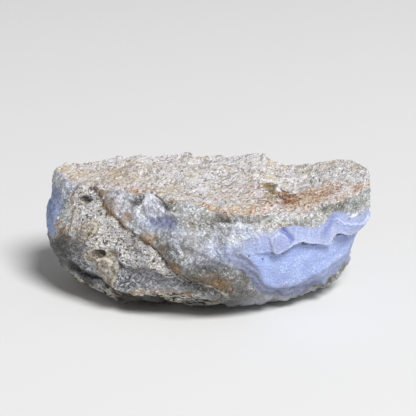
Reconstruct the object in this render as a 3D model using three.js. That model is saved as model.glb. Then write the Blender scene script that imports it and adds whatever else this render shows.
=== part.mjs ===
// A rough lump of holly blue agate, grown as one piece: sparkling grey quartz and blue chalcedony
// in a seam of pale volcanic rock, broken out with a flat crust of that rock on top.
// Millimetres, +Z up, longest way along X, front towards -Y, resting on the flat spot at Z = 0.
import * as THREE from "three";
import { mergeVertices } from "three/addons/utils/BufferGeometryUtils.js";

// ---------------------------------------------------------------- driving sizes
const NET = { width: 108, depth: 62, height: 37 };
const NET_SQUARES = { width: 46, depth: 26, height: 16 };
const CORE = { min: [-30, -8, 11], max: [34, 11, 25] };
const WAIST_LEVEL = 16;
const SHIFT = [-0.06, -0.08];
const STEP_WIDTH = 2.0;
const RIM_ROUND = 1.3;
const EDGE_ROUND = 0.9;
const STONE_COLOUR = 0x9a9fae;

// Level sections: each station is an azimuth in degrees and the radius at each of the levels.
const LEVELS = [0, 3, 8, 16, 26, 36];
const STATIONS = [
  { azimuth: 0, radii: [28, 40.5, 46.3, 49, 53.2, 53] },
  { azimuth: 20, radii: [26, 37, 44, 49, 53.1, 55.7] },
  { azimuth: 30, radii: [24, 34, 42, 47, 51.1, 54.6] },
  { azimuth: 60, radii: [18, 26, 31, 35, 36, 35.8] },
  { azimuth: 90, radii: [16, 23.5, 28, 31, 31.5, 30.9] },
  { azimuth: 122, radii: [18, 26, 31, 34.5, 35.5, 35.2] },
  { azimuth: 150, radii: [22, 33, 41, 48, 50, 48.4] },
  { azimuth: 160, radii: [23.5, 36, 45, 52.2, 55.4, 55.6] },
  { azimuth: 172, radii: [24.5, 38.3, 47, 52.6, 53.8, 48.6] },
  { azimuth: 183, radii: [25.3, 39.5, 47.4, 52, 51.2, 40.5] },
  { azimuth: 194, radii: [24.5, 39.3, 46, 47.5, 43.4, 33] },
  { azimuth: 207, radii: [23, 37.5, 41, 39.5, 34.8, 27.6] },
  { azimuth: 232, radii: [17, 25.5, 32.5, 33.5, 31, 25.8] },
  { azimuth: 270, radii: [12.5, 19.5, 27.5, 32, 32.5, 30.3] },
  { azimuth: 300, radii: [15.5, 24, 30, 34, 34.5, 32.5] },
  { azimuth: 330, radii: [24, 32, 36.5, 39.5, 41, 39.5] },
  { azimuth: 348, radii: [28, 37.5, 42.8, 45.5, 48.5, 48] },
];

// Height of the crust on top along X, for its front edge and its back edge.
const TOP_FRONT = {
  x: [-52, -39, -30, -22, -12, 0, 9, 25, 34, 47, 54],
  z: [38.6, 37.6, 37.8, 38.2, 37.6, 36.4, 36, 36.3, 36.8, 36.4, 36],
};
const TOP_BACK = {
  x: [-52, -42, -34, -27, -20, -10, 0, 13, 17, 21, 29, 34, 42, 50, 54],
  z: [37.6, 36.6, 36.7, 37.6, 37.2, 35.9, 36, 37.4, 38, 35.5, 32.8, 34, 36.5, 38, 37.8],
};
const TOP_FRONT_Y = -26;
const TOP_BACK_Y = 26;

// Broken faces: azimuth and tilt of the face's normal in degrees, distance from the origin.
const BREAKS = [
  { azimuth: 92, tilt: -14, distance: 25.1 },
  { azimuth: 126, tilt: -4, distance: 41.6 },
  { azimuth: 58, tilt: -8, distance: 38.4 },
  { azimuth: 33, tilt: -12, distance: 45.4 },
  { azimuth: 150, tilt: -22, distance: 42 },
  { azimuth: 205, tilt: -8, distance: 44.9 },
  { azimuth: 226, tilt: 6, distance: 41 },
  { azimuth: 110, tilt: -52, distance: 13 },
  { azimuth: 20, tilt: -38, distance: 30.6 },
  { azimuth: 175, tilt: -40, distance: 31.9 },
  { azimuth: 290, tilt: -20, distance: 25.9 },
  { azimuth: 258, tilt: -14, distance: 27 },
  { azimuth: 265, tilt: 52, distance: 41.6 },
  { azimuth: 235, tilt: 52, distance: 42.3 },
  { azimuth: 168, tilt: 50, distance: 62.5 },
  { azimuth: 16, tilt: 45, distance: 65.4 },
  { azimuth: 228, tilt: -45, distance: 21.5 },
];

// Features of the sides are laid out as [girth, height]. Girth runs round the stone from the
// middle of its front, positive to the right, measured on the section at GIRTH_LEVEL.
const GIRTH_LEVEL = 20;
const GIRTH_STEPS = 1440;

// Edge of the upper blue shelf, and the lower edge of the scoop hollowed out beneath it.
const LEDGE = [
  [12, 24], [21, 24], [22.5, 23], [25, 24], [28, 25], [32, 25.5], [34, 24.5], [39, 23], [41.5, 22],
  [44, 22], [45, 25.5], [47, 25], [50, 23.5], [54, 22.5], [58, 23], [62, 24.5], [70, 25], [80, 24],
];
const SCOOP_FOOT = [
  [8, 23], [13, 20], [16, 17], [19, 13.5], [22, 11.5], [28, 9.5], [33, 9], [36, 10],
  [39.5, 11.5], [43, 13], [50, 14.5], [57, 16.5], [66, 18], [80, 18],
];
const SCOOP_DEPTH = 2.3;
// A raised flat block at the left end of the shelf, the notch behind it, a fold at the right.
const BLOCK = [[20, 29], [24, 31], [28, 27], [28, 25], [22.5, 22.5], [21, 24]];
const BLOCK_LIFT = 0.8;
const NOTCH = [[24, 31.5], [26, 30], [28, 27]];
const NOTCH_DEPTH = 0.9;
const FOLD = [[44.5, 31], [47, 29.5], [48.5, 28], [52.5, 27], [57, 25.5], [62, 25], [64, 26.5]];
const FOLD_LIFT = 0.9;
// The rusty seam that parts the grey quartz from the rock, running down to the right.
const SEAM = [
  [-64.5, 36.5], [-55, 34], [-50.5, 33], [-43, 31], [-38.5, 30], [-34, 28], [-27.5, 27],
  [-22, 26], [-18.5, 24.5], [-15.5, 22.5], [-12, 19], [-10.5, 17.5], [-3.5, 16.5], [1, 14],
  [4, 12], [7.5, 11],
];
const SEAM_DEPTH = 0.6;
const QUARTZ_LIFT = 1.1;
// The hollow under the lower lip of the rock, and the deep groove at the lower left.
const UNDERCUT = [
  [-31.5, 18], [-29.5, 17], [-25, 16.5], [-22, 18], [-18, 18], [-15, 15.5], [-8, 15.5],
  [1, 13], [4.5, 10.5], [-5, 9.5], [-20.5, 10.5], [-27, 9], [-30, 8], [-30, 13],
];
const UNDERCUT_DEPTH = 1.7;
const GROOVE = [
  [-52, 13], [-48, 11.5], [-44, 10], [-39, 10.5], [-35, 9], [-33.5, 6], [-31, 4.5], [-26, 4],
  [-19, 4.5],
];
const GROOVE_DEPTH = 2.4;
// Round lumps (lift above zero) and pits (below), with their half width and half height.
const SPOTS = [
  { at: [-61.2, 32.8], half: [2.5, 1.3], lift: -2.2 },
  { at: [-39, 19], half: [2, 1.2], lift: -2 },
  { at: [-46.5, 25.5], half: [3.5, 3], lift: 0.8 },
  { at: [-41, 17.5], half: [3, 2.5], lift: 1 },
  { at: [-36, 15], half: [3.5, 3], lift: 1.3 },
  { at: [-33, 10], half: [3, 3], lift: 1.1 },
  { at: [-21, 32.5], half: [8.5, 1.5], lift: -1.1 },
  { at: [-28, 35.5], half: [4.5, 1.5], lift: 1.1 },
  { at: [-22, 36.5], half: [4.5, 1], lift: -1 },
  { at: [-38, 35.5], half: [3.5, 2], lift: -0.9 },
  { at: [59.5, 5.5], half: [5, 3], lift: -1.3 },
];
const STAIN_LUMP = { at: [20.5, -4], half: [4, 5], lift: 1.2 };
// Lower edge of the crust along the front. Right of the middle it stands out over a crease.
const CRUST_EDGE = [
  [-72, 38], [-62, 37], [-48, 37], [-35, 38], [-17, 37], [-4, 36.5], [4.5, 35.5], [10, 34.5],
  [15, 35], [20, 36], [28, 36], [31.5, 35], [34, 34.5], [41, 36.5], [70, 36],
];
const CREASE = { depth: 1.3, drop: 1.1, width: 0.9, from: -4, to: 26 };
// How far small chips out of the rim reach.
const RIM_CHIPPING = 0.9;
// Round the back: the crust steps out over the quartz.
const BACK_CRUST = { height: 28.5, lift: 1, from: 76, to: 88 };

// ---------------------------------------------------------------- small maths
const clamp = THREE.MathUtils.clamp;
const rad = THREE.MathUtils.degToRad;

function ramp(from, to, value) {
  const t = clamp((value - from) / (to - from), 0, 1);
  return t * t * (3 - 2 * t);
}

function smoothMax(a, b, width) {
  const t = clamp(0.5 + (0.5 * (a - b)) / width, 0, 1);
  return b * (1 - t) + a * t + width * t * (1 - t);
}

function hash(i, j, k, seed) {
  const v = Math.sin(i * 127.1 + j * 311.7 + k * 74.7 + seed * 19.19) * 43758.5453;
  return v - Math.floor(v);
}

// Value noise, -1 to 1.
function noise([x, y, z], seed) {
  const cell = [Math.floor(x), Math.floor(y), Math.floor(z)];
  const [u, v, w] = [x - cell[0], y - cell[1], z - cell[2]].map((t) => t * t * (3 - 2 * t));
  let total = 0;
  for (let corner = 0; corner < 8; corner += 1) {
    const a = corner & 1;
    const b = (corner >> 1) & 1;
    const c = corner >> 2;
    const weight = (a ? u : 1 - u) * (b ? v : 1 - v) * (c ? w : 1 - w);
    total += weight * hash(cell[0] + a, cell[1] + b, cell[2] + c, seed);
  }
  return 2 * total - 1;
}

function layeredNoise(point, size, octaves, seed) {
  let [x, y, z] = point.map((value) => value / size);
  let total = 0;
  let amplitude = 1;
  let norm = 0;
  for (let octave = 0; octave < octaves; octave += 1) {
    total += amplitude * noise([x, y, z], seed + octave);
    norm += amplitude;
    [x, y, z] = [1.9 * x + 0.7 * y + 3.1, 1.9 * y - 0.7 * z + 1.7, 1.9 * z + 0.7 * x + 5.3];
    amplitude *= 0.5;
  }
  return total / norm;
}

// Shallow chips that meet in ridges: the lowest of one tilted dish for each cell of a jittered
// lattice. The cells are size mm across, stretched along each axis.
function chips(point, size, seed, tilt = 0.7, curve = 0.75, stretch = [1, 1, 1]) {
  const q = point.map((value, axis) => value / (size * stretch[axis]));
  const base = q.map(Math.floor);
  let lowest = Infinity;
  for (let index = 0; index < 27; index += 1) {
    const i = base[0] + Math.floor(index / 9) - 1;
    const j = base[1] + (Math.floor(index / 3) % 3) - 1;
    const k = base[2] + (index % 3) - 1;
    const dx = q[0] - i - hash(i, j, k, seed);
    const dy = q[1] - j - hash(i, j, k, seed + 1);
    const dz = q[2] - k - hash(i, j, k, seed + 2);
    const lean = dx * (hash(i, j, k, seed + 3) * 2 - 1)
      + dy * (hash(i, j, k, seed + 4) * 2 - 1)
      + dz * (hash(i, j, k, seed + 5) * 2 - 1);
    lowest = Math.min(lowest, tilt * lean + curve * (dx * dx + dy * dy + dz * dz));
  }
  return lowest;
}

// ---------------------------------------------------------------- curves
// Slope at each knot of a curve, from the knots beside it.
function slopes(xs, ys) {
  return xs.map((x, i) => {
    if (i === 0) return (ys[1] - ys[0]) / (xs[1] - xs[0]);
    if (i === xs.length - 1) return (ys[i] - ys[i - 1]) / (x - xs[i - 1]);
    const before = x - xs[i - 1];
    const after = xs[i + 1] - x;
    const rise = before * before * (ys[i + 1] - ys[i]) + after * after * (ys[i] - ys[i - 1]);
    return rise / (before * after * (before + after));
  });
}

function hermite(t, span, y0, y1, m0, m1) {
  const t2 = t * t;
  const t3 = t2 * t;
  return (2 * t3 - 3 * t2 + 1) * y0 + (t3 - 2 * t2 + t) * span * m0
    + (3 * t2 - 2 * t3) * y1 + (t3 - t2) * span * m1;
}

// Smooth curve through knots, held level past either end.
function curve(xs, ys) {
  const ms = slopes(xs, ys);
  return (value) => {
    const x = clamp(value, xs[0], xs[xs.length - 1]);
    let i = 0;
    while (i < xs.length - 2 && x >= xs[i + 1]) i += 1;
    const span = xs[i + 1] - xs[i];
    return hermite((x - xs[i]) / span, span, ys[i], ys[i + 1], ms[i], ms[i + 1]);
  };
}

// Height of a feature line at a girth.
function lineHeight(line, girth) {
  if (girth <= line[0][0]) return line[0][1];
  for (let i = 1; i < line.length; i += 1) {
    const [s0, z0] = line[i - 1];
    const [s1, z1] = line[i];
    if (girth <= s1) return z0 + ((z1 - z0) * (girth - s0)) / (s1 - s0);
  }
  return line[line.length - 1][1];
}

function lineDistance(line, s, z) {
  let nearest = Infinity;
  for (let i = 1; i < line.length; i += 1) {
    const [s0, z0] = line[i - 1];
    const ds = line[i][0] - s0;
    const dz = line[i][1] - z0;
    const t = clamp(((s - s0) * ds + (z - z0) * dz) / (ds * ds + dz * dz), 0, 1);
    nearest = Math.min(nearest, Math.hypot(s - s0 - t * ds, z - z0 - t * dz));
  }
  return nearest;
}

// Distance to a closed outline, negative inside it.
function areaDistance(outline, s, z) {
  let inside = false;
  outline.forEach(([s1, z1], i) => {
    const [s0, z0] = outline[(i + outline.length - 1) % outline.length];
    if (z0 > z !== z1 > z && s < s0 + ((z - z0) / (z1 - z0)) * (s1 - s0)) inside = !inside;
  });
  const distance = lineDistance([...outline, outline[0]], s, z);
  return inside ? -distance : distance;
}

// ---------------------------------------------------------------- the body before its relief
const wrapped = [
  ...STATIONS.slice(-2).map((station) => ({ ...station, azimuth: station.azimuth - 360 })),
  ...STATIONS,
  ...STATIONS.slice(0, 2).map((station) => ({ ...station, azimuth: station.azimuth + 360 })),
];
const azimuths = wrapped.map((station) => station.azimuth);
const levelSlopes = LEVELS.map((_, level) => slopes(azimuths, wrapped.map((w) => w.radii[level])));
const profiles = wrapped.map((station, i) => ({
  azimuth: station.azimuth,
  radius: curve(LEVELS, station.radii),
  slope: curve(LEVELS, levelSlopes.map((atLevel) => atLevel[i])),
}));

function hullRadius(angle, z) {
  const azimuth = THREE.MathUtils.euclideanModulo(THREE.MathUtils.radToDeg(angle), 360);
  let i = 0;
  while (i < profiles.length - 2 && azimuth >= profiles[i + 1].azimuth) i += 1;
  const [a, b] = [profiles[i], profiles[i + 1]];
  const span = b.azimuth - a.azimuth;
  const t = (azimuth - a.azimuth) / span;
  return hermite(t, span, a.radius(z), b.radius(z), a.slope(z), b.slope(z));
}

const topFront = curve(TOP_FRONT.x, TOP_FRONT.z);
const topBack = curve(TOP_BACK.x, TOP_BACK.z);

function topHeight(x, y) {
  const t = clamp((y - TOP_FRONT_Y) / (TOP_BACK_Y - TOP_FRONT_Y), 0, 1);
  return topFront(x) * (1 - t) + topBack(x) * t;
}

// How far the rim strays in and out.
function rimWander(angle, z) {
  const waves = 0.5 * Math.sin(9 * angle + 0.12 * z) + 0.4 * Math.sin(17 * angle + 2 - 0.2 * z)
    + 0.3 * Math.sin(31 * angle + 4 + 0.25 * z);
  return waves * ramp(30, 35, z);
}

const breakNormals = BREAKS.map(({ azimuth, tilt }) => [
  Math.cos(rad(azimuth)) * Math.cos(rad(tilt)),
  Math.sin(rad(azimuth)) * Math.cos(rad(tilt)),
  Math.sin(rad(tilt)),
]);

// Below zero inside the flanks, which run on above the top.
function flanks([x, y, z]) {
  const angle = Math.atan2(y, x);
  let field = (Math.hypot(x, y) - hullRadius(angle, z) - rimWander(angle, z)) * 0.85;
  BREAKS.forEach(({ distance }, i) => {
    const [nx, ny, nz] = breakNormals[i];
    field = smoothMax(field, x * nx + y * ny + z * nz - distance, EDGE_ROUND);
  });
  return field;
}

// Below zero inside the stone.
function body([x, y, z]) {
  return Math.max(smoothMax(flanks([x, y, z]), z - topHeight(x, y), RIM_ROUND), -z);
}

// ---------------------------------------------------------------- girth
const girthAt = [0];
const girthPoint = (step) => {
  const angle = -Math.PI / 2 + (2 * Math.PI * step) / GIRTH_STEPS;
  const radius = hullRadius(angle, GIRTH_LEVEL);
  return [radius * Math.cos(angle), radius * Math.sin(angle)];
};
for (let step = 1; step <= GIRTH_STEPS; step += 1) {
  const [x0, y0] = girthPoint(step - 1);
  const [x1, y1] = girthPoint(step);
  girthAt.push(girthAt[step - 1] + Math.hypot(x1 - x0, y1 - y0));
}
const perimeter = girthAt[GIRTH_STEPS];

function girthOf(x, y) {
  const turn = THREE.MathUtils.euclideanModulo(Math.atan2(y, x) + Math.PI / 2, 2 * Math.PI);
  const place = (turn / (2 * Math.PI)) * GIRTH_STEPS;
  const step = Math.min(Math.floor(place), GIRTH_STEPS - 1);
  const girth = girthAt[step] + (girthAt[step + 1] - girthAt[step]) * (place - step);
  return girth > perimeter / 2 ? girth - perimeter : girth;
}

// Azimuth of a place on the girth, given as a share of it from -0.5 to 0.5.
function angleAt(share) {
  const girth = (share < 0 ? share + 1 : share) * perimeter;
  let low = 0;
  let high = GIRTH_STEPS;
  while (high - low > 1) {
    const middle = (low + high) >> 1;
    if (girthAt[middle] <= girth) low = middle;
    else high = middle;
  }
  const place = low + (girth - girthAt[low]) / (girthAt[high] - girthAt[low]);
  return -Math.PI / 2 + (2 * Math.PI * place) / GIRTH_STEPS;
}

// The same share for a place on the border of the net's box.
function boxGirth(x, y) {
  const { width, depth } = NET;
  const round = 2 * (width + depth);
  const hand = x < 0 ? -1 : 1;
  if (Math.abs(Math.abs(x) - width / 2) < 1e-6) {
    return (hand * (width / 2 + depth / 2 + y)) / round;
  }
  return (y < 0 ? x : hand * (width + depth) - x) / round;
}

// ---------------------------------------------------------------- the net laid on the body
// How far along a line a field first turns positive.
function reach(field, along, limit) {
  let near = 0;
  let far = limit;
  for (let turn = 0; turn < 26; turn += 1) {
    const middle = (near + far) / 2;
    if (field(along(middle)) < 0) near = middle;
    else far = middle;
  }
  return near;
}

// Lays a point of the net's box on a tapered prism round the stone: the box's upper edges fall
// along the rim of the top, its lower edges on the floor under the waist.
function aroundStone([x, y, z]) {
  const share = Math.max(Math.abs(x) / (NET.width / 2), Math.abs(y) / (NET.depth / 2));
  const height = z / NET.height;
  const angle = share > 0 ? angleAt(boxGirth(x / share, y / share)) : 0;
  const outward = (distance) => {
    const [u, v] = [distance * Math.cos(angle), distance * Math.sin(angle)];
    return [u, v, topHeight(u, v)];
  };
  const waist = hullRadius(angle, WAIST_LEVEL);
  const rim = reach(flanks, outward, 80);
  const [u, v, top] = outward(share * (waist + (rim - waist) * height));
  return [u, v, height * top];
}

// Point of the body's surface met going out from the core through a point.
function castOut(target) {
  const from = target.map((value, axis) => clamp(value, CORE.min[axis], CORE.max[axis]));
  const way = target.map((value, axis) => value - from[axis]);
  const length = Math.hypot(...way);
  const along = (distance) => from.map((value, axis) => value + (way[axis] / length) * distance);
  return along(reach(body, along, 60));
}

// ---------------------------------------------------------------- relief
function spotLift({ at, half, lift }, u, v) {
  const far = Math.hypot((u - at[0]) / half[0], (v - at[1]) / half[1]);
  return lift * ramp(1 + 0.35 * STEP_WIDTH, 1 - 0.35 * STEP_WIDTH, far);
}

const scoopFoot = curve(SCOOP_FOOT.map(([s]) => s), SCOOP_FOOT.map(([, z]) => z));

// Blue shelf at the right: the scoop below its edge, the block, the notch and the fold.
function shelfLift(s, z) {
  const edge = lineHeight(LEDGE, s);
  const foot = scoopFoot(s);
  const below = ramp(-STEP_WIDTH / 2, STEP_WIDTH / 2, edge - z);
  const fade = 1 - clamp((edge - z) / (edge - foot), 0, 1);
  let lift = -SCOOP_DEPTH * ramp(12, 24, s) * (1 - ramp(50, 74, s)) * below * fade;
  lift += BLOCK_LIFT * ramp(STEP_WIDTH, -STEP_WIDTH, areaDistance(BLOCK, s, z));
  lift -= NOTCH_DEPTH * Math.exp(-((lineDistance(NOTCH, s, z) / 0.9) ** 2));
  const underFold = lineHeight(FOLD, s) - z;
  const foldSpan = ramp(43, 46, s) * (1 - ramp(66, 74, s)) * (1 - below);
  const foldStep = ramp(-STEP_WIDTH * 0.4, STEP_WIDTH * 0.4, underFold);
  lift += FOLD_LIFT * foldSpan * foldStep * (1 - 0.7 * ramp(0, 9, underFold));
  return lift;
}

// Left half of the front: quartz standing over the rock along the seam, the hollow under the
// rock's lower lip, and the deep groove at the left.
function seamLift(s, z) {
  const distance = lineDistance(SEAM, s, z);
  const start = ramp(-66, -60, s);
  const over = ramp(-STEP_WIDTH * 0.4, STEP_WIDTH * 0.4, 0.8 * (z - lineHeight(SEAM, s)));
  let lift = QUARTZ_LIFT * over * Math.exp(-distance / 8) * ramp(6, -4, s) * start;
  lift -= SEAM_DEPTH * Math.exp(-((distance / (0.4 + STEP_WIDTH / 2)) ** 2)) * start;
  const hollow = ramp(STEP_WIDTH / 2, -STEP_WIDTH / 2, areaDistance(UNDERCUT, s, z));
  lift -= UNDERCUT_DEPTH * hollow * (1 - 0.75 * clamp((18 - z) / 9, 0, 1));
  const groove = Math.exp(-((lineDistance(GROOVE, s, z) / 2.2) ** 2));
  return lift - GROOVE_DEPTH * groove * (1 - 0.6 * ramp(8, 20, z));
}

// Crust standing out over a crease at the front, and over the quartz round the back.
function crustLift(s, z) {
  const under = (lineHeight(CRUST_EDGE, s) - CREASE.drop - z) / CREASE.width;
  const span = ramp(CREASE.from, CREASE.from + 8, s) * ramp(CREASE.to, CREASE.to - 8, s);
  const line = BACK_CRUST.height + 1.6 * Math.sin(s / 7) + 0.9 * Math.sin(s / 3.1 + 1);
  const back = ramp(BACK_CRUST.from, BACK_CRUST.to, Math.abs(s));
  return BACK_CRUST.lift * back * ramp(-STEP_WIDTH / 2, STEP_WIDTH / 2, z - line)
    - CREASE.depth * Math.exp(-under * under) * span;
}

// Height of the finished surface over the body, at a point with its upward share of the normal.
function relief(point, up) {
  const [x, y, z] = point;
  const s = girthOf(x, y);
  const top = ramp(0.81, 0.88, up);
  const bent = (share) => point.map((v, i) => v + share * 2.2 * layeredNoise(point, 11, 2, 60 + i));
  const blue = ramp(10, 22, s) * (1 - ramp(66, 80, s)) * ramp(-2, 2, z - scoopFoot(s));
  const chipped = 2.6 * (chips(bent(1), 10.5, 20) - 0.055) + 1.1 * (chips(bent(0.5), 4.6, 25) - 0.06);
  let side = 0.7 * layeredNoise(point, 17, 3, 1) + chipped * (1 - 0.75 * blue);
  side += shelfLift(s, z) + seamLift(s, z) + crustLift(s, z);
  SPOTS.forEach((spot) => {
    side += spotLift(spot, s, z);
  });
  const lumps = 2.6 * (0.2 - chips(point, 4.4, 40, 0, 1));
  side += lumps * ramp(11, 6, z) * ramp(8, 16, s) * (1 - ramp(95, 110, s));
  const flakes = 2.4 * (chips(point, 5, 50, 1, 0.9, [1.6, 1.6, 0.55]) - 0.2);
  side += flakes * ramp(11, 7, z) * (1 - ramp(6, 14, s));
  const crust = 0.6 * layeredNoise(point, 14, 3, 5) + 0.9 * layeredNoise(point, 6.5, 2, 8)
    + 1.1 * (chips(bent(1), 8, 30) - 0.3) + spotLift(STAIN_LUMP, x, y);
  const offRim = (z - topHeight(x, y)) / 2.5;
  const atRim = Math.exp(-offRim * offRim) * ramp(0.97, 0.85, up);
  const chipping = RIM_CHIPPING * atRim * layeredNoise(point, 4, 2, 15);
  return (side * (1 - top) + crust * top + chipping) * ramp(0.3, 2.5, z);
}

// ---------------------------------------------------------------- the net and the mesh
// Cuts each square of the net along its shorter diagonal.
function cutSquares(index, position) {
  const corner = (i) => new THREE.Vector3().fromBufferAttribute(position, i);
  const cut = [];
  for (let i = 0; i < index.count; i += 6) {
    const [a, b, c, d] = [index.getX(i), index.getX(i + 1), index.getX(i + 4), index.getX(i + 2)];
    const first = corner(a).distanceTo(corner(c));
    const second = corner(b).distanceTo(corner(d));
    if (first < second) cut.push(a, b, c, a, c, d);
    else cut.push(a, b, d, b, c, d);
  }
  return cut;
}

function buildStone() {
  const { width, depth, height } = NET;
  const squares = NET_SQUARES;
  const net = new THREE.BoxGeometry(
    width, depth, height, squares.width, squares.depth, squares.height,
  );
  net.translate(0, 0, height / 2);
  net.deleteAttribute("normal");
  net.deleteAttribute("uv");
  net.clearGroups();
  const stone = mergeVertices(net, 1e-3);
  const position = stone.getAttribute("position");
  for (let i = 0; i < position.count; i += 1) {
    const netPoint = [position.getX(i), position.getY(i), position.getZ(i)];
    position.setXYZ(i, ...castOut(aroundStone(netPoint)));
  }
  stone.computeVertexNormals();
  const normal = stone.getAttribute("normal").clone();
  for (let i = 0; i < position.count; i += 1) {
    const base = [position.getX(i), position.getY(i), position.getZ(i)];
    const way = [normal.getX(i), normal.getY(i), normal.getZ(i)];
    const lift = relief(base, way[2]);
    const [x, y, z] = base.map((value, axis) => value + way[axis] * lift);
    position.setXYZ(i, x + SHIFT[0], y + SHIFT[1], base[2] < 1e-3 ? 0 : Math.max(z, 0));
  }
  stone.setIndex(cutSquares(stone.getIndex(), position));
  stone.deleteAttribute("normal");
  stone.computeVertexNormals();
  return stone;
}

const material = new THREE.MeshStandardMaterial({
  color: STONE_COLOUR,
  roughness: 0.7,
  metalness: 0,
  flatShading: true,
});
const agateStone = new THREE.Mesh(buildStone(), material);
agateStone.name = "agate_stone";

const group = new THREE.Group();
group.name = "holly_blue_agate";
group.add(agateStone);

export default group;
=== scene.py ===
"""A rough lump of holly blue agate on a pale floor.

The stone is one fine mesh, made from the same sections, breaks and relief as the CAD solid, with
the grain and crystals that the solid leaves out. Shapes are worked out in millimetres.
"""

import math

import bpy
import numpy as np
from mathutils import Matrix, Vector


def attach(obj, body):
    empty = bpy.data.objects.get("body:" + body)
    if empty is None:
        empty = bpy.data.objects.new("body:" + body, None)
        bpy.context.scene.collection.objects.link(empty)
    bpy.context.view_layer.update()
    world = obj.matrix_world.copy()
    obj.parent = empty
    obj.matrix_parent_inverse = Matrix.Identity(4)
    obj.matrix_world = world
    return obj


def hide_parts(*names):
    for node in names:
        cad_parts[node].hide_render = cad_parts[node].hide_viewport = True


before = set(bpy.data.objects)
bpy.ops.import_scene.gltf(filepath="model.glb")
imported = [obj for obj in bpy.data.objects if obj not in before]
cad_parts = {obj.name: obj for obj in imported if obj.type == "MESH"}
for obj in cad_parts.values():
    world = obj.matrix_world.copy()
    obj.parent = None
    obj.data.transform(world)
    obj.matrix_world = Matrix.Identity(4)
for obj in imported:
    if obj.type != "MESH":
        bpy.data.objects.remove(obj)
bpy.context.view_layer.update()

MILLIMETRES = 1000  # in a metre

# ---- sizes shared with the solid
NET = (108.0, 62.0, 37.0)
NET_SQUARES = (190, 108, 90)
CORE = np.array([[-30.0, -8.0, 11.0], [34.0, 11.0, 25.0]])
WAIST_LEVEL = 16.0
SHIFT = np.array([-0.06, -0.08, 0.0])
RIM_REACH, SKIN_REACH, HALVINGS = 80, 60, 24  # of the searches along a line
HULL_SLANT = 0.85
STEP_WIDTH = 0.8
RIM_ROUND = 1.3
EDGE_ROUND = 0.9

LEVELS = np.array([0.0, 3, 8, 16, 26, 36])
STATIONS = {  # azimuth in degrees: the radius at each level
    0: [28, 40.5, 46.3, 49, 53.2, 53],
    20: [26, 37, 44, 49, 53.1, 55.7],
    30: [24, 34, 42, 47, 51.1, 54.6],
    60: [18, 26, 31, 35, 36, 35.8],
    90: [16, 23.5, 28, 31, 31.5, 30.9],
    122: [18, 26, 31, 34.5, 35.5, 35.2],
    150: [22, 33, 41, 48, 50, 48.4],
    160: [23.5, 36, 45, 52.2, 55.4, 55.6],
    172: [24.5, 38.3, 47, 52.6, 53.8, 48.6],
    183: [25.3, 39.5, 47.4, 52, 51.2, 40.5],
    194: [24.5, 39.3, 46, 47.5, 43.4, 33],
    207: [23, 37.5, 41, 39.5, 34.8, 27.6],
    232: [17, 25.5, 32.5, 33.5, 31, 25.8],
    270: [12.5, 19.5, 27.5, 32, 32.5, 30.3],
    300: [15.5, 24, 30, 34, 34.5, 32.5],
    330: [24, 32, 36.5, 39.5, 41, 39.5],
    348: [28, 37.5, 42.8, 45.5, 48.5, 48],
}
TOP_FRONT = (
    [-52, -39, -30, -22, -12, 0, 9, 25, 34, 47, 54],
    [38.6, 37.6, 37.8, 38.2, 37.6, 36.4, 36, 36.3, 36.8, 36.4, 36],
)
TOP_BACK = (
    [-52, -42, -34, -27, -20, -10, 0, 13, 17, 21, 29, 34, 42, 50, 54],
    [37.6, 36.6, 36.7, 37.6, 37.2, 35.9, 36, 37.4, 38, 35.5, 32.8, 34, 36.5, 38, 37.8],
)
TOP_FRONT_Y, TOP_BACK_Y = -26.0, 26.0
BREAKS = [  # azimuth and tilt of the normal in degrees, distance from the origin
    (92, -14, 25.1), (126, -4, 41.6), (58, -8, 38.4), (33, -12, 45.4), (150, -22, 42),
    (205, -8, 44.9), (226, 6, 41), (110, -52, 13), (20, -38, 30.6), (175, -40, 31.9),
    (290, -20, 25.9), (258, -14, 27), (265, 52, 41.6), (235, 52, 42.3), (168, 50, 62.5),
    (16, 45, 65.4), (228, -45, 21.5),
]

# Features of the sides as (girth, height): girth runs round the section at GIRTH_LEVEL from the
# middle of the front, positive to the right.
GIRTH_LEVEL = 20.0
GIRTH_STEPS = 1440
LEDGE = [
    (12, 24), (21, 24), (22.5, 23), (25, 24), (28, 25), (32, 25.5), (34, 24.5), (39, 23),
    (41.5, 22), (44, 22), (45, 25.5), (47, 25), (50, 23.5), (54, 22.5), (58, 23), (62, 24.5),
    (70, 25), (80, 24),
]
SCOOP_FOOT = [
    (8, 23), (13, 20), (16, 17), (19, 13.5), (22, 11.5), (28, 9.5), (33, 9), (36, 10), (39.5, 11.5),
    (43, 13), (50, 14.5), (57, 16.5), (66, 18), (80, 18),
]
SCOOP_DEPTH = 2.3
BLOCK = [(20, 29), (24, 31), (28, 27), (28, 25), (22.5, 22.5), (21, 24)]
BLOCK_LIFT = 0.8
NOTCH = [(24, 31.5), (26, 30), (28, 27)]
NOTCH_DEPTH = 0.9
FOLD = [(44.5, 31), (47, 29.5), (48.5, 28), (52.5, 27), (57, 25.5), (62, 25), (64, 26.5)]
FOLD_LIFT = 0.9
# The line of a crease, along which darker blue shade is painted.
DEEP_CREASE = [(44, 31.5), (42.5, 29.5), (40.5, 27)]
SEAM = [
    (-64.5, 36.5), (-55, 34), (-50.5, 33), (-43, 31), (-38.5, 30), (-34, 28), (-27.5, 27),
    (-22, 26), (-18.5, 24.5), (-15.5, 22.5), (-12, 19), (-10.5, 17.5), (-3.5, 16.5), (1, 14),
    (4, 12), (7.5, 11),
]
SEAM_DEPTH = 0.6
QUARTZ_LIFT = 1.1
UNDERCUT = [
    (-31.5, 18), (-29.5, 17), (-25, 16.5), (-22, 18), (-18, 18), (-15, 15.5), (-8, 15.5), (1, 13),
    (4.5, 10.5), (-5, 9.5), (-20.5, 10.5), (-27, 9), (-30, 8), (-30, 13),
]
UNDERCUT_DEPTH = 1.7
GROOVE = [
    (-52, 13), (-48, 11.5), (-44, 10), (-39, 10.5), (-35, 9), (-33.5, 6), (-31, 4.5), (-26, 4),
    (-19, 4.5),
]
GROOVE_DEPTH = 2.4
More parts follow.
